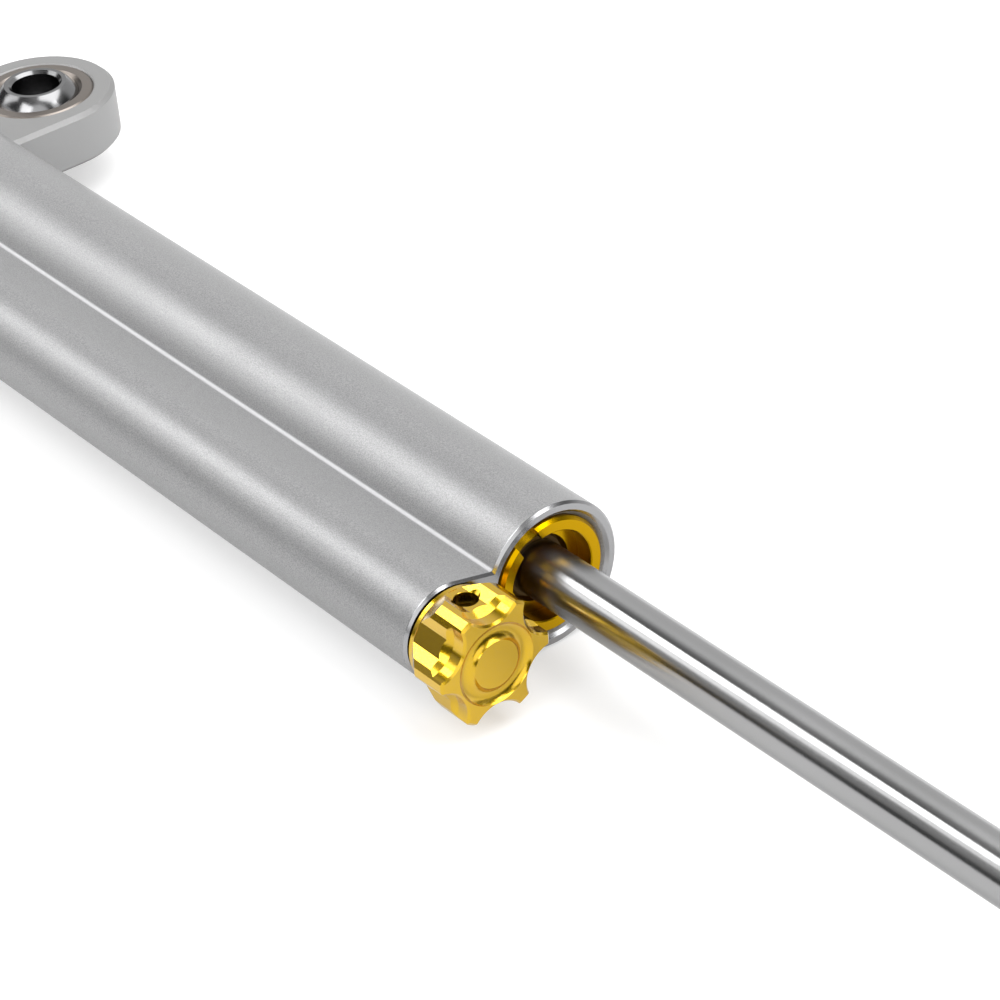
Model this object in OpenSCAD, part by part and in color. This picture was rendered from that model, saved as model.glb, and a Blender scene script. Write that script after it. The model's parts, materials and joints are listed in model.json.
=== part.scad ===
// Motorcycle steering damper: twin bore body, rod through both ends, turning adjuster knob.
// Lengths are in millimetres. The origin is the centre of the bearing ball in the body's eye.
// X runs along the rod to its outer end, Y from the adjuster tube to the eye, Z along both bolts.
// It is drawn fully extended.

/* [Body] */
// Length of the twin bore body
body_len = 180; // [130:1:240]
// Outer diameter of the main tube
main_d = 22; // [20:0.5:30]
// Outer diameter of the adjuster tube
near_d = 14.5; // [13:0.5:20]
// Distance between the axes of the two tubes
tube_gap = 17.6; // [16:0.1:24]
// Slope of the web between the tubes, in degrees
web_slope = 14.5; // [8:0.5:25]
// Radius of the valley between web and main tube
valley_r = 0.5; // [0.3:0.1:2]
// Bevel along the body's end faces
end_bevel = 0.35; // [0.2:0.05:0.8]
// Diameter of the piston's bore
bore_d = 16; // [14:0.5:20]
// Diameter of the adjuster tube's bore
near_bore_d = 10; // [8:0.5:12]

/* [Eye] */
// Distance from the main tube's axis to the eye's centre
eye_offset = 23; // [20:0.5:32]
// Distance from the body's rear end to the eye's centre
eye_from_rear = 16; // [14:0.5:24]
// Outer diameter of the body's eye
lug_d = 26; // [24:0.5:34]
// Thickness of both eyes and races
eye_thick = 9; // [6:0.5:12]
// Bevel along the edges of the body's eye
lug_bevel = 0.7; // [0.3:0.1:1.5]
// Radius of the fillets between the eye and the main tube
lug_fillet = 1.6; // [0.5:0.1:3]
// Outer diameter of the bearing race
race_d = 19; // [16:0.5:24]
// Diameter of the bearing ball
ball_d = 15.88; // [13:0.01:20]
// Width of the race's bevel beside the ball
race_lip = 1.1; // [0.4:0.1:1.5]
// Width of the bearing ball over its flat faces
ball_w = 12; // [8:0.5:14]
// Bolt hole in the bearing ball
bolt_d = 8; // [6:1:10]

/* [Rod] */
// Diameter of the piston rod
rod_d = 8; // [6:0.5:12]
// Stroke of the rod
stroke = 120; // [60:5:140]
// Length of bare rod left outside the front face at full compression
rod_spare = 3.5; // [2:0.5:10]
// Length of rod that stands out at the rear at full extension
rod_stub = 8; // [4:1:20]
// Length of the piston
piston_len = 12; // [8:1:20]
// Distance from the front seal head to the piston at full extension
piston_gap = 4; // [2:0.5:8]

/* [Rod end] */
// Outer diameter of the rod end's head
head_d = 24; // [22:0.5:30]
// Length from the eye's centre to the end of the shank
shank_len = 36; // [30:1:50]
// Diameter of the shank
shank_d = 12.5; // [11:0.5:16]
// Width across the flats of the jam nut
jam_af = 13; // [12:1:17]
// Height of the jam nut
jam_h = 6.5; // [4:0.5:8]

/* [Gland nut] */
// Outer diameter of the gland nut
nut_d = 17.4; // [16:0.1:20]
// Diameter of the recess in the nut
recess_d = 13.4; // [11:0.1:15]
// Depth of the recess below the body's face
recess_depth = 3; // [2:0.1:5]
// Depth of the nut's rim below the body's face
rim_sink = 0.05; // [0:0.05:1]
// Width of the spanner slot
slot_w = 3.6; // [3:0.1:6]
// Depth of the spanner slot
slot_depth = 1.4; // [0.5:0.1:2.5]
// Direction of the front spanner slot, in degrees from +Y towards +Z
slot_turn = 115.5; // [0:0.5:180]

/* [Knob] */
// Diameter over the lobe tips
knob_d = 17.9; // [14:0.1:24]
// Height of the knob from its rear rim to its face
knob_h = 9.6; // [7:0.1:14]
// Gap between the body's face and the knob
knob_gap = 0.48; // [0.3:0.02:1]
// Number of lobes
lobes = 6; // [4:1:8]
// Direction of the first lobe, in degrees from +Y towards +Z
lobe_turn = -2.5; // [-30:0.5:30]
// Width of a lobe
lobe_w = 2.4; // [1.6:0.1:4]
// Bevel along both sides of a lobe
lobe_bevel = 0.55; // [0.2:0.05:0.7]
// Radius to the floor of the long scallops
scallop_floor = 7.15; // [6.5:0.05:8]
// Width of the flat floor of the long scallops
floor_w = 2.8; // [1:0.1:4]
// Radius to the floor of the deeper cuts at the face
cut_floor = 6.4; // [6.2:0.05:7]
// Radius of the cutter of the deeper cuts
cut_round = 4.6; // [3:0.1:8]
// Outer radius of the ring channel in the face
channel_out = 6.05; // [4.5:0.05:7]
// Inner radius of the ring channel in the face
channel_in = 3.5; // [2:0.05:5]
// Depth of the ring channel
channel_depth = 0.8; // [0.3:0.05:1.5]
// Radius of the knob's rear rim
knob_rim_r = 7.15; // [6.5:0.05:8]

/* [Adjuster] */
// Diameter of the adjuster spindle
spindle_d = 5; // [4:0.5:6]
// Diameter of the screwed adjuster housing
housing_d = 12; // [11:0.5:13]
// Turn of the knob from the drawn setting to each end stop, in degrees
knob_turn = 360; // [180:90:720]
// Diameter of the needle's seat
seat_d = 3.2; // [2:0.1:4]

/* [Hidden] */
$fn = 64;
sink = 0.03;
run_fit = 0.03;
seat_fit = 0.02;

main_r = main_d / 2;
near_r = near_d / 2;
bore_r = bore_d / 2;
near_bore_r = near_bore_d / 2;
rod_r = rod_d / 2;
nut_r = nut_d / 2;
recess_r = recess_d / 2;
race_r = race_d / 2;
ball_r = ball_d / 2;
bolt_r = bolt_d / 2;
head_r = head_d / 2;
lug_r = lug_d / 2;
spindle_r = spindle_d / 2;
housing_r = housing_d / 2;
knob_r = knob_d / 2;
thread_r = rod_r - 0.1;

rear_x = -eye_from_rear;
front_x = rear_x + body_len;
main_y = -eye_offset;
near_y = main_y - tube_gap;

// Depths below an end face, along the main bore
nut_end = 7;
head_end = 20;
seal_start = nut_end + 0.2;
seal_end = nut_end + 4.4;
seal_r = 6.5;
bush_start = 13;
bush_r = 5;
wiper_start = recess_depth + 0.6;
wiper_r = 5;
head_groove = [14, 16];
head_groove_r = nut_r - 1.4;
nut_bevel = 0.45;
rim_bevel = 0.15;
mouth_bevel = 1.05;
port_r = 1.25;
port_depth = head_end + 1.8;
eye_bevel = 0.25;
race_bevel = 0.35;

// Depths below an end face, along the adjuster bore
housing_end = 18;
seat_start = 24;
seat_end = 27;
plug_end = 8;
plug_bevel = 0.5;
spring_end = 14.5;
comp_end = 19.5;

// Outside any part, so that a cut runs through its face
over = 1;

piston_x = front_x - head_end - piston_gap - piston_len / 2;
rod_x0 = rear_x - rod_stub;
jam_x = front_x + stroke + rod_spare;
shank_x = jam_x + jam_h;
tip_x = shank_x + shank_len;
thread_len = 14;

// Places children whose own Z runs towards +X
module along(x, y) { translate([x, y, 0]) rotate([0, 90, 0]) children(); }

// Places children whose own Z is the depth below the front face
module from_front(y) { translate([front_x, y, 0]) rotate([0, -90, 0]) children(); }

// Places children whose own Z is the depth below the rear face
module from_rear(y) { translate([rear_x, y, 0]) rotate([0, 90, 0]) children(); }

// Plain tube with its own Z from z0 to z1
module ring(r_out, r_in, z0, z1) {
    translate([0, 0, z0]) difference() {
        cylinder(r = r_out, h = z1 - z0);
        translate([0, 0, -over]) cylinder(r = r_in, h = z1 - z0 + 2 * over);
    }
}

// Round ring of round section
module oring(mid_r, wire_r, z) {
    translate([0, 0, z]) rotate_extrude() translate([mid_r, 0]) circle(r = wire_r, $fn = 24);
}

// Solid of revolution about its own Z, from points of radius and height
module turned(points) { rotate_extrude() polygon(points); }

// Cylinder with both ends bevelled
module bevelled(r, h, b) {
    turned([[0, 0], [r - b, 0], [r, b], [r, h - b], [r - b, h], [0, h]]);
}

// Disc across Z, centred, with both rims bevelled
module bevelled_disc(r, h, b) { translate([0, 0, -h / 2]) bevelled(r, h, b); }

// Cutter for a hole from 0 to h with both mouths bevelled
module hole(r, h, b) {
    wide = r + b + over;
    turned([[0, -over], [wide, -over], [r, b], [r, h - b], [wide, h + over], [0, h + over]]);
}

// Web section between the tubes, seen along X with the main axis at the origin
web_n = [sin(web_slope), cos(web_slope)];
web_m = [-cos(web_slope), sin(web_slope)];
web_h = near_r + valley_r - web_n[0] * tube_gap;
valley_c = web_h * web_n + sqrt(pow(main_r + valley_r, 2) - web_h * web_h) * web_m;
web_top = [-tube_gap, 0] + (near_r - sink) * web_n;
web_low = valley_c - (valley_r + sink) * web_n;
main_touch = valley_c * main_r / (main_r + valley_r);
function flip(p) = [p[0], -p[1]];

module web_shape() {
    polygon([[-tube_gap, 0], web_top, web_low, valley_c, main_touch, [0, 0],
             flip(main_touch), flip(valley_c), flip(web_low), flip(web_top)]);
}

// Half space that bevels the web's upper face at the end x, with out = 1 or -1
module web_bevel(x, out) {
    size = 3 * near_d;
    translate([x, main_y + web_top[0], web_top[1]]) rotate([-web_slope, 0, 0])
        rotate([0, out * 45, 0]) translate([-size / 2, -size / 2, -end_bevel * sqrt(0.5)]) cube(size);
}

// Valley rounding cut, flared at both ends so that the bevel runs through it
module valley_cut() {
    for (s = [1, -1]) translate([0, main_y + valley_c[0], s * valley_c[1]]) rotate([0, 90, 0]) {
        translate([0, 0, rear_x]) hole(valley_r + sink / 2, body_len, end_bevel, $fn = 32);
    }
}

// Section of the eye's neck, with its four edges bevelled
neck = [lug_r - lug_bevel, eye_thick / 2];
edge = [lug_r, eye_thick / 2 - lug_bevel];
neck_half = [edge, neck, [-neck[0], neck[1]], [-edge[0], edge[1]]];
neck_shape = concat(neck_half, -neck_half);

// Eye of the body and its neck into the main tube
module lug() {
    bevelled_disc(lug_r, eye_thick, lug_bevel);
    rotate([90, 0, 0]) linear_extrude(eye_offset) polygon(neck_shape);
}

// Fillet over the neck, seen along X with the main axis at the origin
fillet_z = eye_thick / 2 + lug_fillet;
fillet_c = [sqrt(pow(main_r + lug_fillet, 2) - fillet_z * fillet_z), fillet_z];
fillet_touch = fillet_c * (main_r - sink) / (main_r + lug_fillet);
fillet_foot = [fillet_c[0], eye_thick / 2 - sink];
fillet_len = 2 * (lug_r - lug_bevel - 0.1);

module fillet() {
    translate([-fillet_len / 2, main_y, 0]) rotate([90, 0, 90]) difference() {
        linear_extrude(fillet_len) polygon([fillet_c, fillet_foot, [bore_r, 0], fillet_touch]);
        translate([fillet_c[0], fillet_c[1], -over])
            cylinder(r = lug_fillet + sink / 2, h = fillet_len + 2 * over);
    }
}

// Stock of the body before boring
module body_stock() {
    along(rear_x, main_y) bevelled(main_r, body_len, end_bevel);
    along(rear_x, near_y) bevelled(near_r, body_len, end_bevel);
    difference() {
        translate([rear_x, main_y, 0]) rotate([90, 0, 90]) linear_extrude(body_len) web_shape();
        for (s = [0, 1]) mirror([0, 0, s]) {
            web_bevel(front_x, 1);
            web_bevel(rear_x, -1);
        }
    }
    lug();
    for (s = [0, 1]) mirror([0, 0, s]) fillet();
}

// Bore of the main tube, with its own Z as the depth below either end face
module main_bore() {
    mouth_r = nut_r + seat_fit;
    wide = mouth_r + mouth_bevel + over;
    far = body_len - head_end;
    turned([[0, -over], [wide, -over], [mouth_r, mouth_bevel], [mouth_r, head_end],
        [bore_r, head_end], [bore_r, far], [mouth_r, far], [mouth_r, body_len - mouth_bevel],
        [wide, body_len + over], [0, body_len + over]]);
}

// Bore of the adjuster tube, with its own Z as the depth below the front face
module near_bore() {
    mouth_r = housing_r + seat_fit;
    wide = near_bore_r + plug_bevel + over;
    seat_r = seat_d / 2;
    turned([[0, -over], [mouth_r, -over], [mouth_r, housing_end], [near_bore_r, housing_end],
        [near_bore_r, seat_start], [seat_r, seat_start], [seat_r, seat_end], [near_bore_r, seat_end],
        [near_bore_r, body_len - plug_bevel], [wide, body_len + over], [0, body_len + over]]);
}

// Passage from the main bore to the adjuster bore
module port() {
    translate([0, over - bore_r, port_depth]) rotate([90, 0, 0])
        cylinder(r = port_r, h = tube_gap - bore_r + over, $fn = 32);
}

module body() {
    color([0.72, 0.72, 0.74]) difference() {
        body_stock();
        valley_cut();
        from_front(main_y) main_bore();
        from_front(near_y) near_bore();
        from_front(main_y) port();
        from_rear(main_y) port();
        translate([0, 0, -eye_thick / 2]) hole(race_r + run_fit, eye_thick, eye_bevel);
    }
}

// Gland nut, with its own Z as the depth below the end face
module gland_nut(turn) {
    difference() {
        turned([[wiper_r, recess_depth], [recess_r, recess_depth], [recess_r, rim_sink + rim_bevel],
            [recess_r + rim_bevel, rim_sink], [nut_r - nut_bevel, rim_sink],
            [nut_r, rim_sink + nut_bevel], [nut_r, nut_end], [wiper_r, nut_end]]);
        rotate([0, 0, turn]) translate([-main_r, -slot_w / 2, -over])
            cube([2 * main_r, slot_w, over + rim_sink + slot_depth]);
    }
}

module front_gland_nut() { color([0.86, 0.66, 0.08]) from_front(main_y) gland_nut(90 - slot_turn); }

module rear_gland_nut() { color([0.86, 0.66, 0.08]) from_rear(main_y) gland_nut(30); }

// Seal head, which guides and seals the rod
module seal_head() {
    throat_r = rod_r + 0.3;
    turned([[seal_r, nut_end], [nut_r, nut_end], [nut_r, head_groove[0]],
        [head_groove_r, head_groove[0]], [head_groove_r, head_groove[1]], [nut_r, head_groove[1]],
        [nut_r, head_end], [bush_r, head_end], [bush_r, bush_start], [throat_r, bush_start],
        [throat_r, seal_end], [seal_r, seal_end]]);
}

module front_seal_head() { color([0.75, 0.75, 0.77]) from_front(main_y) seal_head(); }

module rear_seal_head() { color([0.75, 0.75, 0.77]) from_rear(main_y) seal_head(); }

// Draws its children at both ends of the main bore
module both_ends() {
    from_front(main_y) children();
    from_rear(main_y) children();
}

module rod_wipers() {
    lip = rod_r + run_fit;
    back = rod_r + 0.5;
    out = wiper_r - seat_fit;
    end = nut_end - 0.1;
    color([0.06, 0.06, 0.06]) both_ends()
        turned([[lip, wiper_start], [back, wiper_start], [back, wiper_start + 0.8],
            [out, wiper_start + 1.1], [out, end], [back, end], [back, wiper_start + 1.6],
            [lip, wiper_start + 0.5]]);
}

module rod_seals() {
    lip = rod_r + run_fit;
    out = seal_r - seat_fit;
    end = seal_end - 0.1;
    color([0.12, 0.2, 0.5]) both_ends()
        turned([[rod_r + 0.2, seal_start], [out, seal_start], [out, end], [seal_r - 0.9, end],
            [(seal_r + rod_r) / 2, seal_end - 1.8], [rod_r + 0.8, end], [lip, end], [lip, seal_start + 2]]);
}

module guide_bushes() {
    color([0.55, 0.45, 0.25]) both_ends()
        ring(bush_r - seat_fit, rod_r + run_fit, bush_start + 0.2, head_end - 0.2);
}

module seal_head_orings() {
    wire_r = (nut_r - head_groove_r) / 2;
    color([0.08, 0.08, 0.08]) both_ends()
        oring(nut_r - wire_r, wire_r - seat_fit, (head_groove[0] + head_groove[1]) / 2);
}

// Retaining rings at both faces of the piston, and their grooves in the rod
ring_w = 0.9;
ring_gap = 0.02;
ring_mouth = 3.3;
ring_seat_r = rod_r - 0.5;
ring_mid = piston_len / 2 + ring_w / 2 + 0.03;

// Ends of the rod
rod_bevel = 0.5;
neck_w = 1.5;
neck_r = thread_r - 0.6;
key_r = 2.5 / cos(30);
key_depth = 4;

module rod() {
    plain_len = jam_x - rod_x0 - neck_w;
    thread_z = plain_len + neck_w;
    full_len = jam_x - rod_x0 + jam_h + thread_len;
    taper = thread_r - neck_r;
    color([0.8, 0.8, 0.82]) difference() {
        along(rod_x0, main_y) turned([[0, 0], [rod_r - rod_bevel, 0], [rod_r, rod_bevel],
            [rod_r, plain_len - rod_bevel], [rod_r - rod_bevel, plain_len], [neck_r, plain_len],
            [neck_r, thread_z - taper], [thread_r, thread_z], [thread_r, full_len - taper],
            [neck_r, full_len], [0, full_len]]);
        for (s = [1, -1]) along(piston_x + s * ring_mid, main_y)
            ring(rod_r + over, ring_seat_r, -ring_w / 2 - ring_gap, ring_w / 2 + ring_gap);
        along(rod_x0 - over, main_y) cylinder(r = key_r, h = key_depth + over, $fn = 6);
    }
}

band_w = 4;
band_seat_r = bore_r - 1.1;

module piston() {
    half = piston_len / 2;
    groove = band_w / 2 + 0.05;
    step = 0.5;
    color([0.7, 0.7, 0.72]) along(piston_x, main_y) difference() {
        ring(bore_r - 0.12, rod_r + seat_fit, -half, half);
        ring(bore_r + over, band_seat_r, -groove, groove);
        ring(bore_r + over, bore_r - 0.7, -half - over, step - half);
        ring(bore_r + over, bore_r - 0.7, half - step, half + over);
    }
}

module piston_band() {
    color([0.15, 0.15, 0.15]) along(piston_x, main_y)
        ring(bore_r - run_fit, band_seat_r + run_fit, -band_w / 2, band_w / 2);
}

module piston_rings() {
    color([0.3, 0.3, 0.32]) for (s = [1, -1]) along(piston_x + s * ring_mid, main_y) difference() {
        ring(rod_r + 1.6, ring_seat_r + seat_fit, -ring_w / 2, ring_w / 2);
        translate([0, 0, -ring_w]) linear_extrude(2 * ring_w)
            polygon([[0, 0], [bore_r, ring_mouth], [bore_r, -ring_mouth]]);
    }
}

// Hexagon prism with its corners bevelled at both ends
module hex_block(af, h) {
    corner_r = af / 2 / cos(30);
    intersection() {
        cylinder(r = corner_r, h = h, $fn = 6);
        bevelled(corner_r, h, 0.7);
    }
}

module jam_nut() {
    color([0.75, 0.75, 0.77]) along(jam_x, main_y) difference() {
        hex_block(jam_af, jam_h);
        hole(thread_r + seat_fit, jam_h, 0.6);
    }
}

shank_r = shank_d / 2;
flats_af = 14;
flats_h = 7.5;
taper_len = 8;
taper_z = shank_len - race_r - taper_len;
socket_r = thread_r + seat_fit;

module rod_end() {
    color([0.7, 0.7, 0.73]) difference() {
        union() {
            translate([tip_x, main_y, 0]) bevelled_disc(head_r, eye_thick, 0.8);
            along(shank_x, main_y) turned([[0, flats_h - 1], [shank_r, flats_h - 1], [shank_r, taper_z],
                [eye_thick / 2, taper_z + taper_len], [0, taper_z + taper_len]]);
            along(shank_x, main_y) hex_block(flats_af, flats_h);
        }
        along(shank_x, main_y) turned([[0, -over], [socket_r + over + 0.6, -over], [socket_r, 0.6],
            [socket_r, thread_len + 2], [0, thread_len + 4]]);
        translate([tip_x, main_y, -eye_thick / 2]) hole(race_r + run_fit, eye_thick, eye_bevel);
    }
}

// Outer race of a spherical bearing, centred
module race() {
    throat_r = sqrt(ball_r * ball_r - eye_thick * eye_thick / 4);
    difference() {
        bevelled_disc(race_r, eye_thick, race_bevel);
        sphere(r = ball_r + run_fit);
        translate([0, 0, -eye_thick / 2]) hole(throat_r, eye_thick, race_lip);
    }
}

// Ball of a spherical bearing with flat faces and a bolt hole, centred
module bearing_ball() {
    difference() {
        intersection() {
            sphere(r = ball_r);
            cylinder(r = ball_r + over, h = ball_w, center = true);
        }
        translate([0, 0, -ball_w / 2]) hole(bolt_r, ball_w, 0.5);
    }
}

module eye_race() { color([0.72, 0.58, 0.42]) race(); }

module eye_ball() { color([0.75, 0.75, 0.77]) bearing_ball(); }

module rod_end_race() { color([0.72, 0.58, 0.42]) translate([tip_x, main_y, 0]) race(); }

module rod_end_ball() { color([0.75, 0.75, 0.77]) translate([tip_x, main_y, 0]) bearing_ball(); }

// Knob profile heights, measured from the body's front face
rim_end = 1.3;
cone_end = 4.2;
cut_start = 6.4;
cut_full = 7.9;
face_z = knob_gap + knob_h;
knob_bevel = 0.4;
cut_bevel = 0.3;
hub_depth = 6.5;
screw_z = 4.1;
screw_r = 1.7;
screw_len = 3;
screw_mouth = 0.7;
screw_turn = lobe_turn + 90;

// Click notches in the knob's rear face, and the ball that drops into them
clicks = 24;
click_radius = 4.2;
click_dip = 0.06;
notch_r = 0.4;
click_ball_r = 1;
click_z = knob_gap + 0.04 - click_ball_r;
pocket_depth = 4.2;

// Section of a long scallop: its flat floor, its sloping walls and the bevels of the lobes beside it
gap_turn = 180 / lobes - asin(lobe_w / 2 / knob_r);
bevel_turn = gap_turn + lobe_bevel / knob_r * 180 / PI;
wall_foot = [scallop_floor, floor_w / 2];
wall = knob_r * [cos(gap_turn), sin(gap_turn)] - wall_foot;
wall_top = wall_foot + wall * (1 - lobe_bevel / norm(wall));
bevel_top = knob_r * [cos(bevel_turn), sin(bevel_turn)];
bevel_out = 2 * bevel_top - wall_top;
half_scallop = [wall_foot, wall_top, bevel_out, [2 * knob_r, bevel_out[1]]];
scallop_shape = concat(half_scallop, [for (i = [3 : -1 : 0]) flip(half_scallop[i])]);

// Places children on the adjuster's axis, with their X towards the given direction from +Y
module facing(turn) { along(front_x, near_y) rotate([0, 0, turn + 90]) children(); }

// Places children whose own Z is the set screw's axis, starting at the radius r
module on_screw(r) { facing(screw_turn) translate([r, 0, screw_z]) rotate([0, 90, 0]) children(); }

// Knob before the scallops
module knob_stock() {
    rim_bevel = 0.2;
    turned([[0, knob_gap], [knob_rim_r - rim_bevel, knob_gap], [knob_rim_r, knob_gap + rim_bevel],
        [knob_rim_r, rim_end], [knob_r, cone_end], [knob_r, face_z - knob_bevel],
        [knob_r - knob_bevel, face_z], [0, face_z]]);
}

// Long scallop and the deeper cut at the face, between two lobes
module scallop() {
    start_r = cut_round - scallop_floor + cut_floor - 0.1;
    wide = cut_round + cut_bevel + over;
    translate([0, 0, rim_end + 0.1]) linear_extrude(face_z) polygon(scallop_shape);
    translate([cut_floor + cut_round, 0, 0])
        turned([[0, cut_start], [start_r, cut_start], [cut_round, cut_full],
            [cut_round, face_z - cut_bevel], [wide, face_z + over], [0, face_z + over]]);
}

// Concave ring channel in the knob's face
module channel() {
    half = (channel_out - channel_in) / 2;
    arc_r = (half * half + channel_depth * channel_depth) / 2 / channel_depth;
    translate([0, 0, face_z - channel_depth + arc_r]) rotate_extrude()
        translate([channel_in + half, 0]) circle(r = arc_r, $fn = 48);
}

module knob() {
    color([0.85, 0.68, 0.12]) difference() {
        along(front_x, near_y) knob_stock();
        for (i = [0 : lobes - 1]) facing(lobe_turn + (i + 0.5) * 360 / lobes) scallop();
        along(front_x, near_y) channel();
        along(front_x, near_y) cylinder(r = spindle_r + seat_fit, h = hub_depth);
        on_screw(0) cylinder(r = screw_r, h = knob_r, $fn = 32);
        on_screw(scallop_floor - 0.05)
            cylinder(r1 = screw_r, r2 = screw_r + screw_mouth, h = screw_mouth, $fn = 32);
        for (i = [0 : clicks - 1]) facing(i * 360 / clicks)
            translate([click_radius, 0, 0]) cylinder(r = notch_r, h = knob_gap + click_dip, $fn = 16);
    }
}

module knob_set_screw() {
    key_depth = 1.5;
    color([0.1, 0.1, 0.1]) on_screw(spindle_r - flat_depth) difference() {
        bevelled(screw_r - seat_fit, screw_len, 0.3);
        translate([0, 0, screw_len - key_depth]) cylinder(r = 1 / cos(30), h = key_depth + over, $fn = 6);
    }
}

// Inside of the adjuster, as depths below the front face
collar = [8.1, 9.6];
collar_r = 3.6;
chamber_r = 3.7;
key_af = 6;
key_start = 10;
key_room = 10;
stub_r = 1.75;
flat_depth = 0.3;
spindle_groove = [5.2, 6.8];
spindle_groove_r = spindle_r + 1.1;
housing_groove = [13, 15];
housing_groove_r = housing_r - 1.4;
needle_z0 = 11.5;
needle_z1 = 16.5;
needle_tip = 26.2;
needle_r = 1.4;
thread_pitch = 0.75;
needle_travel = thread_pitch * knob_turn / 360;

module adjuster_housing() {
    color([0.72, 0.72, 0.74]) from_front(near_y) difference() {
        cylinder(r = housing_r, h = housing_end);
        translate([0, 0, -over]) cylinder(r = spindle_r + run_fit, h = housing_end + 2 * over);
        ring(spindle_groove_r, spindle_r, spindle_groove[0], spindle_groove[1]);
        translate([0, 0, collar[0] - 0.1]) cylinder(r = chamber_r, h = key_start - collar[0] + 0.6);
        translate([0, 0, key_start]) cylinder(r = (key_af / 2 + run_fit) / cos(30), h = key_room, $fn = 6);
        ring(housing_r + over, housing_groove_r, housing_groove[0], housing_groove[1]);
        rotate([0, 0, 90]) translate([click_radius, 0, -over])
            cylinder(r = click_ball_r + run_fit, h = pocket_depth + over, $fn = 32);
    }
}

module adjuster_spindle() {
    stub_end = needle_z1 + 0.1 - needle_travel;
    color([0.6, 0.6, 0.62]) difference() {
        union() {
            along(front_x - collar[0], near_y) cylinder(r = spindle_r, h = collar[0] + hub_depth - 0.1);
            along(front_x - collar[1], near_y) cylinder(r = collar_r, h = collar[1] - collar[0]);
            along(front_x - stub_end, near_y) cylinder(r = stub_r, h = stub_end - collar[1], $fn = 32);
        }
        facing(screw_turn) translate([spindle_r - flat_depth, -spindle_r, screw_z - 2.2])
            cube([over, spindle_d, hub_depth]);
    }
}

module needle() {
    cone_z = seat_start - 1;
    bore_end = needle_z1 + 0.2;
    color([0.7, 0.7, 0.72]) from_front(near_y) difference() {
        union() {
            translate([0, 0, needle_z0])
                cylinder(r = key_af / 2 / cos(30), h = needle_z1 - needle_z0 + 1, $fn = 6);
            translate([0, 0, needle_z1]) cylinder(r = needle_r, h = cone_z - needle_z1, $fn = 32);
            translate([0, 0, cone_z]) cylinder(r1 = needle_r, r2 = 0.4, h = needle_tip - cone_z, $fn = 32);
        }
        translate([0, 0, needle_z0 - over])
            cylinder(r = stub_r + run_fit, h = bore_end - needle_z0 + over, $fn = 32);
    }
}

module housing_oring() {
    color([0.08, 0.08, 0.08]) from_front(near_y)
        oring((housing_r + housing_groove_r) / 2, 0.68, (housing_groove[0] + housing_groove[1]) / 2);
}

module spindle_oring() {
    color([0.08, 0.08, 0.08]) from_front(near_y)
        oring(spindle_r + 0.57, 0.5, (spindle_groove[0] + spindle_groove[1]) / 2);
}

module click_ball() {
    color([0.6, 0.6, 0.6]) from_front(near_y) translate([0, click_radius, -click_z])
        sphere(r = click_ball_r, $fn = 32);
}

// Point of a coil at the angle a, rising evenly from z0 to z1 over all its turns
function coil_point(a, r, z0, z1, turns) = [r * cos(a), r * sin(a), z0 + (z1 - z0) * a / 360 / turns];

// Corner k of the wire's section at the angle a
function coil_corner(a, k, r, wire, z0, z1, turns) =
    coil_point(a, r, z0, z1, turns) + wire * [cos(60 * k) * cos(a), cos(60 * k) * sin(a), sin(60 * k)];

// One unbroken wire wound round Z
module coil(r, wire, z0, z1, turns) {
    n = 8 * turns;
    points = [for (i = [0 : n]) for (k = [0 : 5])
        coil_corner(45 * i, k, r, wire, z0 + wire, z1 - wire, turns)];
    sides = [for (i = [0 : n - 1]) for (k = [0 : 5]) for (half = [0, 1]) half == 0
        ? [6 * i + k, 6 * i + (k + 1) % 6, 6 * i + 6 + (k + 1) % 6]
        : [6 * i + k, 6 * i + 6 + (k + 1) % 6, 6 * i + 6 + k]];
    polyhedron(points, concat([[5, 4, 3, 2, 1, 0]], sides, [[for (k = [0 : 5]) 6 * n + k]]));
}

module click_spring() {
    color([0.6, 0.6, 0.6]) from_front(near_y) translate([0, click_radius, 0])
        coil(0.7, 0.18, click_ball_r - click_z, pocket_depth, 4);
}

// O-rings of the adjuster bore's rear end
small_wire_r = 0.57;
small_groove_r = near_bore_r - 1.2;
small_ring_r = near_bore_r - small_wire_r - 0.04;
comp_groove = [spring_end + 1.8, spring_end + 3.4];
plug_groove = [4, 5.8];
plug_front = 0.6;
fill_r = 2;

module compensator_piston() {
    color([0.7, 0.7, 0.72]) from_rear(near_y) difference() {
        translate([0, 0, spring_end]) cylinder(r = near_bore_r - run_fit, h = comp_end - spring_end);
        ring(near_bore_r + over, small_groove_r, comp_groove[0], comp_groove[1]);
        translate([0, 0, spring_end - over]) cylinder(r = 2, h = 2 + over);
    }
}

module compensator_ring() {
    color([0.08, 0.08, 0.08]) from_rear(near_y)
        oring(small_ring_r, small_wire_r, (comp_groove[0] + comp_groove[1]) / 2);
}

module compensator_spring() {
    color([0.6, 0.6, 0.6]) from_rear(near_y) coil(3.5, 0.4, plug_end + 0.05, spring_end - 0.05, 3);
}

module rear_plug() {
    color([0.72, 0.72, 0.74]) from_rear(near_y) difference() {
        ring(near_bore_r - seat_fit, fill_r + seat_fit, plug_front, plug_end);
        ring(near_bore_r + over, small_groove_r, plug_groove[0], plug_groove[1]);
        for (s = [1, -1]) translate([s * 3.5, 0, plug_front - over])
            cylinder(r = 0.7, h = 1.6 + over, $fn = 24);
    }
}

module plug_oring() {
    color([0.08, 0.08, 0.08]) from_rear(near_y)
        oring(small_ring_r, small_wire_r, (plug_groove[0] + plug_groove[1]) / 2);
}

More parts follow.
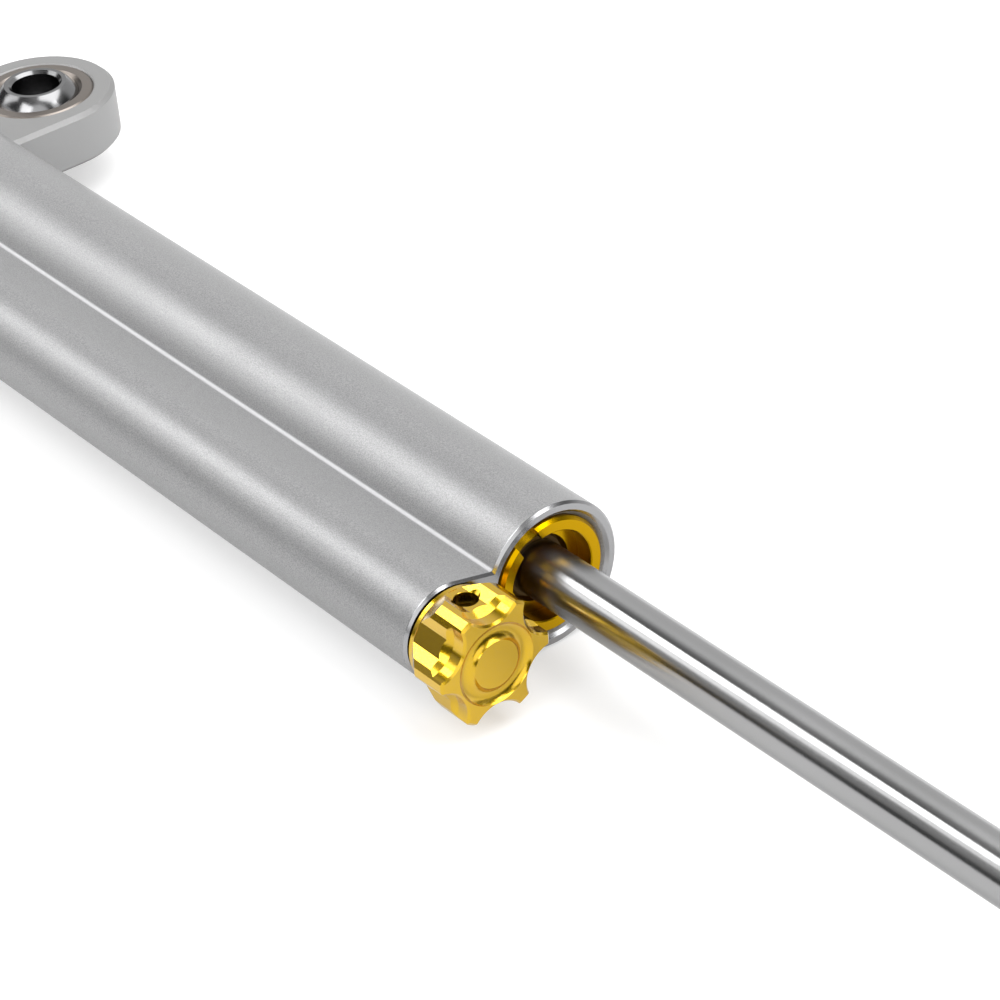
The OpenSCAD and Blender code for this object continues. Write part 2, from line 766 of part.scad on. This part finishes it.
module fill_screw() {
    color([0.2, 0.2, 0.2]) from_rear(near_y) translate([0, 0, 0.8]) difference() {
        bevelled(fill_r, 5.5, 0.3);
        translate([0, 0, -over]) cylinder(r = 1 / cos(30), h = 2 + over, $fn = 6);
    }
}

body();
front_gland_nut();
rear_gland_nut();
front_seal_head();
rear_seal_head();
rod_wipers();
rod_seals();
guide_bushes();
seal_head_orings();
rod();
piston();
piston_band();
piston_rings();
jam_nut();
rod_end();
rod_end_race();
rod_end_ball();
eye_race();
eye_ball();
knob();
knob_set_screw();
adjuster_housing();
adjuster_spindle();
needle();
housing_oring();
spindle_oring();
click_ball();
click_spring();
compensator_piston();
compensator_ring();
compensator_spring();
rear_plug();
plug_oring();
fill_screw();
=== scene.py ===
"""Looks of the motorcycle steering damper. Metres, in the part's own frame."""
import json
import math

import bmesh
import bpy
from mathutils import Matrix, Vector


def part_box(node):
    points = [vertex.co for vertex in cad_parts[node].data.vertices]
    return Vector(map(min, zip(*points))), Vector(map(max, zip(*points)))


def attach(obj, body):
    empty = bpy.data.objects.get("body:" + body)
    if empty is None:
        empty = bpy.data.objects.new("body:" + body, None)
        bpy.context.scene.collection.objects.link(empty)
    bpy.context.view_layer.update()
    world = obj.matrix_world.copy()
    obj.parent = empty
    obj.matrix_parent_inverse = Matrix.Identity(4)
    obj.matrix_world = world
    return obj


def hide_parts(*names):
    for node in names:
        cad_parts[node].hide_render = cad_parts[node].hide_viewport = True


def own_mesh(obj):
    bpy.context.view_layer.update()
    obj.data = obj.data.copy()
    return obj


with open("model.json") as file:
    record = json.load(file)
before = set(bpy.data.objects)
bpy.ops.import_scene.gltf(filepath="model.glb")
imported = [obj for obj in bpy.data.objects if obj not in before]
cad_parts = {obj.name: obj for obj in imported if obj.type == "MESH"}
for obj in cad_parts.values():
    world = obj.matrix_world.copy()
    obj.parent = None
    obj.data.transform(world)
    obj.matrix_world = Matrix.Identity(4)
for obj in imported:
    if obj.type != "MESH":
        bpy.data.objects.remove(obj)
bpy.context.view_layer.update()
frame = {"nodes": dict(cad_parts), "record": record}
nodes = frame["nodes"]
SLOTS = {part["node"]: part["material_slot"] for part in frame["record"]["subparts"]}

# Camera at the photograph's viewpoint
CAMERA_AT = (0.485493, -0.259039, 0.281231)
CAMERA_RIGHT = (0.619901, 0.780736, -0.078571)
CAMERA_UP = (-0.397918, 0.399079, 0.826074)
CAMERA_BACK = (0.676302, -0.480819, 0.558058)
LENS_MM = 131.727
SENSOR_MM = 36.0
CLIP_NEAR = 0.01
CLIP_FAR = 20

# Softboxes face the body's front end. Each has its direction from there as azimuth and elevation in
# degrees, its distance, width and height, its turn about its own axis in degrees, and its watts
AIM = (0.16, -0.03, 0.0)
SOFTBOXES = {
    "key": (-158.5, 43.4, 0.9, 0.28, 0.60, -32, 2.95),
    "key edge": (-143, 32, 0.9, 0.18, 0.60, -32, 0.8),
    "fill": (60, 66, 1.2, 1.1, 1.0, 0, 12.1),
    "side": (-78, 40, 1.2, 0.6, 0.5, 0, 4.3),
    "front": (30, 38, 1.2, 0.4, 0.4, 0, 0.86),
}

# Pale patches that the metal mirrors beside the softboxes: azimuth and elevation, half width and
# soft edge, all in degrees, and strength. The rest of the room has ROOM_BASE
ROOM = {
    "right wall": (125, 5, 40, 25, 0.79),
    "overhead": (60, 75, 22, 28, 0.64),
    "below key": (-135, 22, 5, 12, 0.43),
    "front card": (-32, 26, 20, 10, 1.57),
}
ROOM_BASE = 0.07

# Floor just under the main tube
FLOOR_AT = (0.1, 0, -0.0111)
FLOOR_SIZE = 6.0
# Its grey where the camera or a mirror shows it, and where it only throws light back
FLOOR_SHOWN = (0.56, 0.56, 0.56)
FLOOR_UNSEEN = (0.78, 0.78, 0.78)
# Its glow to the camera up to one distance from its centre and from another on, and in a mirror.
# It grows outwards because the lamps light the floor less there
GLOW_NEAR, GLOW_NEAR_R = 0.5, 0.5
GLOW_FAR, GLOW_FAR_R = 1.0, 1.3
GLOW_MIRRORED = 0.27

BLACK = (0.0, 0.0, 0.0)
WHITE = (1, 1, 1, 1)


def direction(azimuth, elevation):
    a, e = math.radians(azimuth), math.radians(elevation)
    return Vector((math.cos(e) * math.cos(a), math.cos(e) * math.sin(a), math.sin(e)))


def add_camera():
    data = bpy.data.cameras.new("camera")
    data.lens = LENS_MM
    data.sensor_width = SENSOR_MM
    data.clip_start = CLIP_NEAR
    data.clip_end = CLIP_FAR
    camera = bpy.data.objects.new("camera", data)
    turn = Matrix((CAMERA_RIGHT, CAMERA_UP, CAMERA_BACK)).transposed().to_4x4()
    camera.matrix_world = Matrix.Translation(CAMERA_AT) @ turn
    bpy.context.scene.collection.objects.link(camera)
    bpy.context.scene.camera = camera


def add_softbox(name, azimuth, elevation, distance, width, height, turn, power):
    data = bpy.data.lights.new(name, "AREA")
    data.shape = "RECTANGLE"
    data.size = width
    data.size_y = height
    data.energy = power
    lamp = bpy.data.objects.new(name, data)
    out = direction(azimuth, elevation)
    lamp.location = Vector(AIM) + distance * out
    facing = out.to_track_quat("Z", "Y").to_matrix()
    lamp.rotation_euler = (facing @ Matrix.Rotation(math.radians(turn), 3, "Z")).to_euler()
    bpy.context.scene.collection.objects.link(lamp)


class Graph:
    """Short calls for building one node tree."""

    def __init__(self, tree):
        self.tree = tree
        self.tree.nodes.clear()

    def add(self, kind, inputs=None, **settings):
        node = self.tree.nodes.new(kind)
        for key, value in settings.items():
            setattr(node, key, value)
        for key, value in (inputs or {}).items():
            self.put(node, key, value)
        return node

    def put(self, node, key, value):
        """Links a socket to the node's input, or sets the input to a plain value."""
        if isinstance(value, bpy.types.NodeSocket):
            self.tree.links.new(value, node.inputs[key])
        else:
            node.inputs[key].default_value = value

    def math(self, operation, a, b=0.0, c=0.0):
        return self.add("ShaderNodeMath", {0: a, 1: b, 2: c}, operation=operation).outputs[0]

    def vector(self, operation, a, b=(0, 0, 0)):
        return self.add("ShaderNodeVectorMath", {0: a, 1: b}, operation=operation).outputs

    def parts(self, vector):
        return self.add("ShaderNodeSeparateXYZ", {0: vector}).outputs

    def spread(self, value, low, high, out_low, out_high):
        """Takes value from low and high to out_low and out_high, softly at both ends."""
        inputs = {"Value": value, "From Min": low, "From Max": high,
                  "To Min": out_low, "To Max": out_high}
        node = self.add("ShaderNodeMapRange", inputs, interpolation_type="SMOOTHSTEP")
        return node.outputs[0]

    def noise(self, place, scale, detail=3.0, roughness=0.5):
        inputs = {"Vector": place, "Scale": scale, "Detail": detail, "Roughness": roughness}
        return self.add("ShaderNodeTexNoise", inputs).outputs["Fac"]

    def place(self, scale=(1, 1, 1)):
        """The point's place in its object, with each axis multiplied by scale."""
        coordinates = self.add("ShaderNodeTexCoord").outputs["Object"]
        inputs = {"Vector": coordinates, "Scale": scale}
        return self.add("ShaderNodeMapping", inputs).outputs[0]

    def normal(self):
        return self.add("ShaderNodeTexCoord").outputs["Normal"]

    def bump(self, height, strength, distance):
        inputs = {"Height": height, "Strength": strength, "Distance": distance}
        return self.add("ShaderNodeBump", inputs).outputs[0]

    def shade(self, value, low, high):
        """Mixes two colours, each a socket or plain numbers."""
        low, high = (c if isinstance(c, bpy.types.NodeSocket) else (*c, 1) for c in (low, high))
        inputs = {0: value, 6: low, 7: high}
        return self.add("ShaderNodeMix", inputs, data_type="RGBA").outputs[2]

    def blend(self, value, low, high):
        inputs = {0: value, 2: low, 3: high}
        return self.add("ShaderNodeMix", inputs, data_type="FLOAT").outputs[0]


def surface(name, build):
    material = bpy.data.materials.new(name)
    material.use_nodes = True
    graph = Graph(material.node_tree)
    shader = graph.add("ShaderNodeBsdfPrincipled")
    graph.add("ShaderNodeOutputMaterial", {"Surface": shader.outputs[0]})
    build(graph, shader)
    return material


# Detail and roughness of the grain's noise, and the noise values between which it darkens
GRAIN_NOISE = (4.0, 0.6)
SPECKLE_FROM, SPECKLE_TO = 0.3, 0.7
# Scale of the slow changes, and the noise values and factors between which roughness varies
SLOW_SCALE = 40.0
SLOW_LOW, SLOW_HIGH = 0.25, 0.75
SMOOTHER, ROUGHER = 0.9, 1.1
# Clear coat of anodised metal
COAT_ROUGHNESS = 0.1
COAT_IOR = 1.6
# Quarter turn, so that the highlights run along X
BRUSHED_TURN = 0.25


def metal(name, dark, light, roughness, grain, grain_depth, stretch=(1, 1, 1), metallic=1.0,
          speckle=0.0, coat=0.0, brushed=0.0, zones=()):
    """Metal with fine grain, and slow changes of colour and roughness over its surface.

    speckle is how much the grain darkens the colour, and brushed stretches the highlights along X.
    A zone is a mask function, and the colour, roughness, metallic and share of grain that the metal
    has there; some zones' colours are painted light or shade.
    """

    def build(graph, shader):
        fine = graph.noise(graph.place(stretch), grain, *GRAIN_NOISE)
        slow = graph.noise(graph.place(), SLOW_SCALE)
        colour = graph.shade(slow, dark, light)
        if speckle:
            spots = graph.spread(fine, SPECKLE_FROM, SPECKLE_TO, 0.0, speckle)
            colour = graph.shade(spots, colour, BLACK)
        rough = graph.spread(slow, SLOW_LOW, SLOW_HIGH, roughness * SMOOTHER, roughness * ROUGHER)
        depth, body = 1.0, metallic
        for zone, zone_colour, zone_rough, zone_metallic, zone_grain in zones:
            mask = zone(graph)
            colour = graph.shade(mask, colour, zone_colour)
            rough = graph.blend(mask, rough, zone_rough)
            body = graph.blend(mask, body, zone_metallic)
            depth = graph.blend(mask, depth, zone_grain)
        graph.put(shader, "Base Color", colour)
        graph.put(shader, "Metallic", body)
        graph.put(shader, "Roughness", rough)
        graph.put(shader, "Normal", graph.bump(fine, depth, grain_depth))
        graph.put(shader, "Coat Weight", coat)
        graph.put(shader, "Coat Roughness", COAT_ROUGHNESS)
        graph.put(shader, "Coat IOR", COAT_IOR)
        if brushed:
            tangent = graph.add("ShaderNodeTangent", direction_type="RADIAL", axis="X")
            graph.put(shader, "Tangent", tangent.outputs[0])
            graph.put(shader, "Anisotropic", brushed)
            graph.put(shader, "Anisotropic Rotation", BRUSHED_TURN)

    return surface(name, build)


# Rubber's grain, how much lighter its peaks are, and how its roughness follows it
RUBBER_GRAIN = 5000.0
RUBBER_GRAIN_ROUGHNESS = 0.6
RUBBER_GRAIN_STRENGTH = 0.6
RUBBER_GRAIN_DEPTH = 0.00002
RUBBER_LIGHTER = 2.0
RUBBER_LOW, RUBBER_HIGH = 0.2, 0.8
RUBBER_SMOOTHER, RUBBER_ROUGHER = 0.85, 1.15


def rubber(name, colour, roughness):
    def build(graph, shader):
        fine = graph.noise(graph.place(), RUBBER_GRAIN, roughness=RUBBER_GRAIN_ROUGHNESS)
        lighter = tuple(RUBBER_LIGHTER * c for c in colour)
        rough = graph.spread(fine, RUBBER_LOW, RUBBER_HIGH,
                             roughness * RUBBER_SMOOTHER, roughness * RUBBER_ROUGHER)
        bump = graph.bump(fine, RUBBER_GRAIN_STRENGTH, RUBBER_GRAIN_DEPTH)
        graph.put(shader, "Base Color", graph.shade(fine, colour, lighter))
        graph.put(shader, "Roughness", rough)
        graph.put(shader, "Normal", bump)

    return surface(name, build)


# Distances in from the body's ends at which the machined finish starts and is full
MACHINED_FROM, MACHINED_FULL = 0.0005, 0.0004
# Distance from the eye's race to the full matt finish, and the width of its soft edge
EYE_MARGIN, EYE_FADE = 0.0015, 0.002
# Size of the normal's Z up to which the painted light on the eye's wall is full, and at which it
# ends
LIT_WALL_FULL, LIT_WALL_END = 0.2, 0.6
# Bottom of the valleys between web and main tube, in Y and above or below the tubes' axes, and the
# distances from it at which the painted highlight line is full and ends
VALLEY_Y = -0.03263
VALLEY_Z = 0.00553
VALLEY_FULL, VALLEY_END = 0.00015, 0.0005
# Distances from the rod's axis at which the painted shade on the recess's wall starts and is full
RECESS_SHADE_FROM, RECESS_SHADE_FULL = 0.0054, 0.0062


def machined_ends(graph):
    """1 on the body's end faces and the bevels round them."""
    low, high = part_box("body")
    middle, half = (low[0] + high[0]) / 2, (high[0] - low[0]) / 2
    x = graph.parts(graph.place())["X"]
    away = graph.math("ABSOLUTE", graph.math("SUBTRACT", x, middle))
    return graph.spread(away, half - MACHINED_FROM, half - MACHINED_FULL, 0.0, 1.0)


def matt_eye(graph):
    """1 on the body's eye, which stands out of the main tube."""
    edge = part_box("eye_race")[0][1] - EYE_MARGIN
    y = graph.parts(graph.place())["Y"]
    return graph.spread(y, edge - EYE_FADE, edge, 0.0, 1.0)


def painted_lit_eye_wall(graph):
    """1 on the upright wall round the body's eye, where painted light makes it lighter than the
    top.
    """
    upright = graph.math("ABSOLUTE", graph.parts(graph.normal())["Z"])
    wall = graph.spread(upright, LIT_WALL_FULL, LIT_WALL_END, 1.0, 0.0)
    return graph.math("MULTIPLY", matt_eye(graph), wall)


def painted_valley_highlight(graph):
    """1 in the valleys between the tubes, where a painted highlight lightens the colour."""
    parts = graph.parts(graph.place())
    across = graph.math("SUBTRACT", parts["Y"], VALLEY_Y)
    below = graph.math("SUBTRACT", graph.math("ABSOLUTE", parts["Z"]), VALLEY_Z)
    squares = graph.math("MULTIPLY_ADD", across, across, graph.math("MULTIPLY", below, below))
    return graph.spread(graph.math("SQRT", squares), VALLEY_FULL, VALLEY_END, 1.0, 0.0)


def shaded_recess_wall(graph):
    """1 on the wall round the nut's recess, which faces the rod, where painted shade darkens it."""
    low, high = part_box("front_gland_nut")
    axis = (0.0, (low[1] + high[1]) / 2, (low[2] + high[2]) / 2)
    from_axis = graph.vector("SUBTRACT", graph.place(), axis)[0]
    inward = graph.vector("DOT_PRODUCT", from_axis, graph.normal())["Value"]
    return graph.spread(inward, -RECESS_SHADE_FULL, -RECESS_SHADE_FROM, 1.0, 0.0)


METALS = {
    "blasted_aluminium": dict(
        dark=(0.34, 0.34, 0.343), light=(0.371, 0.371, 0.375), roughness=0.33,
        grain=5600, grain_depth=0.00004, metallic=0.4, speckle=0.36, zones=[
            # Painted highlight: a lighter colour along the valleys between the tubes
            (painted_valley_highlight, (0.50, 0.50, 0.51), 0.5, 0.2, 0.3),
            (machined_ends, (0.378, 0.378, 0.385), 0.2, 1.0, 0.1),
            (matt_eye, (0.295, 0.294, 0.293), 0.48, 0.5, 1.0),
            # Painted light: the eye's upright wall lighter than the eye's top
            (painted_lit_eye_wall, (0.395, 0.395, 0.396), 0.48, 0.5, 1.0),
        ]),
    "turned_aluminium": dict(
        dark=(0.434, 0.434, 0.441), light=(0.476, 0.476, 0.483), roughness=0.25,
        grain=3000, grain_depth=0.00001, stretch=(4, 1, 1)),
    "gold_nut": dict(
        dark=(0.511, 0.287, 0.0004), light=(0.553, 0.319, 0.0007), roughness=0.22,
        grain=3500, grain_depth=0.000004, zones=[
            # Painted shade: a darker colour on the recess wall round the rod
            (shaded_recess_wall, (0.21, 0.105, 0.0), 0.3, 1.0, 0.1),
        ]),
    "gold_knob": dict(
        dark=(0.637, 0.389, 0.0014), light=(0.679, 0.424, 0.0021), roughness=0.20,
        grain=5200, grain_depth=0.00001, coat=0.7),
    "polished_steel": dict(
        dark=(0.35, 0.35, 0.35), light=(0.392, 0.392, 0.396), roughness=0.22,
        grain=900, grain_depth=0.000004, stretch=(6, 1, 1), brushed=0.8),
    "bearing_steel": dict(
        dark=(0.205, 0.205, 0.208), light=(0.23, 0.23, 0.233), roughness=0.18,
        grain=3500, grain_depth=0.000003),
    "zinc_steel": dict(
        dark=(0.385, 0.385, 0.392), light=(0.441, 0.441, 0.455), roughness=0.28,
        grain=3500, grain_depth=0.00001),
    "dark_steel": dict(
        dark=(0.035, 0.035, 0.036), light=(0.056, 0.056, 0.058), roughness=0.35,
        grain=4000, grain_depth=0.00001),
    "bronze": dict(
        dark=(0.217, 0.193, 0.172), light=(0.266, 0.238, 0.217), roughness=0.30,
        grain=3500, grain_depth=0.00001),
}
RUBBERS = {
    "black_rubber": dict(colour=(0.0085, 0.0085, 0.0085), roughness=0.5),
    "amber_wiper": dict(colour=(0.08, 0.042, 0.003), roughness=0.7),
    "black_band": dict(colour=(0.014, 0.014, 0.014), roughness=0.4),
}
# Nodes with a finish of their own instead of their slot's
OWN_FINISH = {
    "eye_ball": "bearing_steel",
    "rod_end_ball": "bearing_steel",
    "rod_wipers": "amber_wiper",
}


def dress():
    """Gives every CAD node its material, and returns the materials by name."""
    made = {name: metal(name, **look) for name, look in METALS.items()}
    made.update({name: rubber(name, **look) for name, look in RUBBERS.items()})
    for node, slot in SLOTS.items():
        material = made[OWN_FINISH.get(node, slot)]
        materials = nodes[node].data.materials
        for i in range(len(materials)):
            materials[i] = material
        if not materials:
            materials.append(material)
    return made


# Points round one turn of a spring, and round its wire
TURN_STEPS = 32
WIRE_STEPS = 16


def wound_wire(node, wire_r, turns, out):
    """A round wire wound round X where the CAD spring is, from its lower end in X if out is 1."""
    low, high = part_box(node)
    centre = [(a + b) / 2 for a, b in zip(low, high)]
    mean_r = (high[1] - low[1]) / 2 - wire_r
    reach = (high[0] - low[0]) / 2 - wire_r
    last = TURN_STEPS * turns
    points = []
    for i in range(last + 1):
        a = 2 * math.pi * i / TURN_STEPS
        x = centre[0] + out * reach * (2 * i / last - 1)
        for k in range(WIRE_STEPS):
            b = 2 * math.pi * k / WIRE_STEPS
            r = mean_r + wire_r * math.cos(b)
            points.append((x + wire_r * math.sin(b),
                           centre[1] + r * math.sin(a),
                           centre[2] - out * r * math.cos(a)))
    faces = [tuple(range(WIRE_STEPS)), tuple(range(last * WIRE_STEPS, (last + 1) * WIRE_STEPS))]
    for i in range(last):
        here, there = i * WIRE_STEPS, (i + 1) * WIRE_STEPS
        for k in range(WIRE_STEPS):
            after = (k + 1) % WIRE_STEPS
            faces.append((here + k, here + after, there + after, there + k))
    mesh = bpy.data.meshes.new(node + "_wire")
    mesh.from_pydata(points, [], faces)
    shell = bmesh.new()
    shell.from_mesh(mesh)
    bmesh.ops.recalc_face_normals(shell, faces=shell.faces)
    shell.to_mesh(mesh)
    shell.free()
    for face in mesh.polygons:
        face.use_smooth = len(face.vertices) == 4
    return mesh


# Springs: node, wire radius, turns, and the way they are wound along X
SPRINGS = [
    ("compensator_spring", 0.0004, 3, 1),
    ("click_spring", 0.00018, 4, -1),
]


def add_springs(made):
    for node, wire_r, turns, out in SPRINGS:
        mesh = wound_wire(node, wire_r, turns, out)
        mesh.materials.append(made[SLOTS[node]])
        wire = bpy.data.objects.new(node + "_wire", mesh)
        bpy.context.scene.collection.objects.link(wire)
        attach(wire, "barrel")
        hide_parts(node)
        if node == "compensator_spring":
            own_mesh(wire)


def floor_material():
    """White to the camera and nearly white in reflections, with the object's shadow on it."""
    material = bpy.data.materials.new("floor")
    material.use_nodes = True
    graph = Graph(material.node_tree)
    rays = graph.add("ShaderNodeLightPath").outputs
    seen = rays["Is Camera Ray"]
    mirrored = graph.math("MAXIMUM", rays["Is Glossy Ray"], rays["Is Transmission Ray"])
    base = graph.shade(graph.math("ADD", seen, mirrored), FLOOR_UNSEEN, FLOOR_SHOWN)
    diffuse = graph.add("ShaderNodeBsdfDiffuse", {"Color": base})
    away = graph.vector("LENGTH", graph.place())["Value"]
    glow = graph.spread(away, GLOW_NEAR_R, GLOW_FAR_R, GLOW_NEAR, GLOW_FAR)
    glow = graph.math("MULTIPLY_ADD", mirrored, GLOW_MIRRORED, graph.math("MULTIPLY", seen, glow))
    lift = graph.add("ShaderNodeEmission", {"Color": WHITE, "Strength": glow})
    both = graph.add("ShaderNodeAddShader", {0: diffuse.outputs[0], 1: lift.outputs[0]})
    graph.add("ShaderNodeOutputMaterial", {"Surface": both.outputs[0]})
    return material


def add_floor():
    half = FLOOR_SIZE / 2
    corners = [(-half, -half, 0), (half, -half, 0), (half, half, 0), (-half, half, 0)]
    mesh = bpy.data.meshes.new("floor")
    mesh.from_pydata(corners, [], [(0, 1, 2, 3)])
    floor = bpy.data.objects.new("floor", mesh)
    floor.location = FLOOR_AT
    mesh.materials.append(floor_material())
    bpy.context.scene.collection.objects.link(floor)


def add_room():
    """World that is white to the camera, and a dim room with pale patches to everything else."""
    world = bpy.data.worlds.new("room")
    world.use_nodes = True
    graph = Graph(world.node_tree)
    look = graph.add("ShaderNodeTexCoord").outputs["Generated"]
    total = ROOM_BASE
    for azimuth, elevation, half, edge, strength in ROOM.values():
        near = graph.vector("DOT_PRODUCT", look, direction(azimuth, elevation))["Value"]
        low, high = math.cos(math.radians(half + edge)), math.cos(math.radians(half))
        total = graph.math("ADD", graph.spread(near, low, high, 0.0, strength), total)
    seen = graph.add("ShaderNodeLightPath").outputs["Is Camera Ray"]
    strength = graph.math("MAXIMUM", total, seen)
    background = graph.add("ShaderNodeBackground", {"Color": WHITE, "Strength": strength})
    graph.add("ShaderNodeOutputWorld", {"Surface": background.outputs[0]})
    bpy.context.scene.world = world


add_springs(dress())
add_floor()
add_room()
add_camera()
for name, box in SOFTBOXES.items():
    add_softbox(name, *box)
bpy.context.scene.view_settings.view_transform = "Standard"
